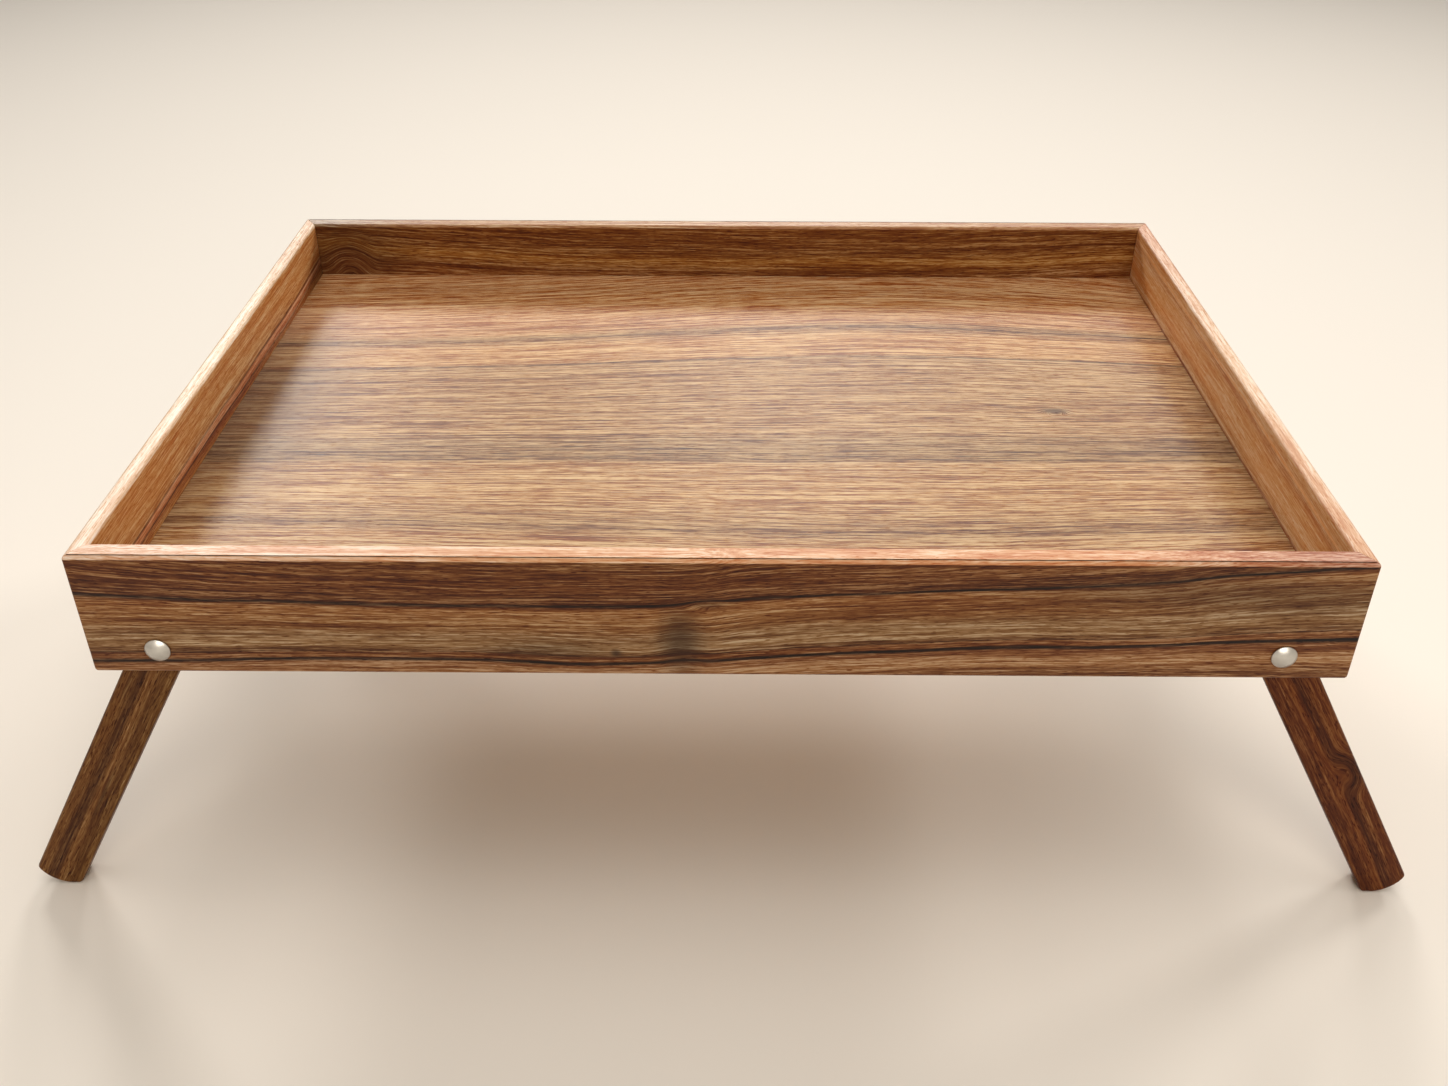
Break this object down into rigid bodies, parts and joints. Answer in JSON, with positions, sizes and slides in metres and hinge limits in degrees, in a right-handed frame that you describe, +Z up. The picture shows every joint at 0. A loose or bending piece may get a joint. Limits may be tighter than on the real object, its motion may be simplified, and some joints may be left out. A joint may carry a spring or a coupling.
{
  "type": "folding leg serving tray",
  "caption": "Rectangular wooden serving tray with low mitred walls, on splayed leg frames that turn on round-headed bolts and fold up flat under the floor.",
  "frame": {"origin": "on the ground, under the middle of the tray, with the legs standing open", "axes": "+X along the tray's length, to the right as pictured; +Y from the front wall to the back wall; +Z up"},
  "size_m": [0.684, 0.406, 0.2071],
  "materials": {
    "long_wall_wood": "satin oil, mid brown with dark streaks",
    "short_wall_wood": "satin oil, golden brown",
    "floor_veneer": "satin lacquer over straight-grained veneer",
    "left_leg_wood": "satin oil, brown",
    "right_leg_wood": "satin oil, dark reddish brown",
    "dowel_wood": "raw beech",
    "bolt_steel": "satin",
    "zinc_plated_steel": "zinc plated"
  },
  "bodies": {
    "tray": {"front_wall": "long_wall_wood", "back_wall": "long_wall_wood", "left_wall": "short_wall_wood", "right_wall": "short_wall_wood", "floor_panel": "floor_veneer", "front_left_pivot_bolt": "bolt_steel", "front_right_pivot_bolt": "bolt_steel", "back_left_pivot_bolt": "bolt_steel", "back_right_pivot_bolt": "bolt_steel", "front_left_spacer": "zinc_plated_steel", "front_right_spacer": "zinc_plated_steel", "back_left_spacer": "zinc_plated_steel", "back_right_spacer": "zinc_plated_steel", "front_left_washer": "zinc_plated_steel", "front_right_washer": "zinc_plated_steel", "back_left_washer": "zinc_plated_steel", "back_right_washer": "zinc_plated_steel", "front_left_lock_nut": "zinc_plated_steel", "front_right_lock_nut": "zinc_plated_steel", "back_left_lock_nut": "zinc_plated_steel", "back_right_lock_nut": "zinc_plated_steel"},
    "left_leg_frame": {"front_left_leg": "left_leg_wood", "back_left_leg": "left_leg_wood", "left_crossbar": "left_leg_wood", "front_left_lower_dowel": "dowel_wood", "front_left_upper_dowel": "dowel_wood", "back_left_lower_dowel": "dowel_wood", "back_left_upper_dowel": "dowel_wood"},
    "right_leg_frame": {"front_right_leg": "right_leg_wood", "back_right_leg": "right_leg_wood", "right_crossbar": "right_leg_wood", "front_right_lower_dowel": "dowel_wood", "front_right_upper_dowel": "dowel_wood", "back_right_lower_dowel": "dowel_wood", "back_right_upper_dowel": "dowel_wood"}
  },
  "joints": [
    {"name": "left_fold", "type": "hinge", "parent": "tray", "child": "left_leg_frame", "pos_m": [-0.24452, 0, 0.15876], "axis": [0, -1, 0], "range_deg": [0, 119.8]},
    {"name": "right_fold", "type": "hinge", "parent": "tray", "child": "right_leg_frame", "pos_m": [0.24452, 0, 0.15876], "axis": [0, 1, 0], "range_deg": [0, 119.8]}
  ]
}
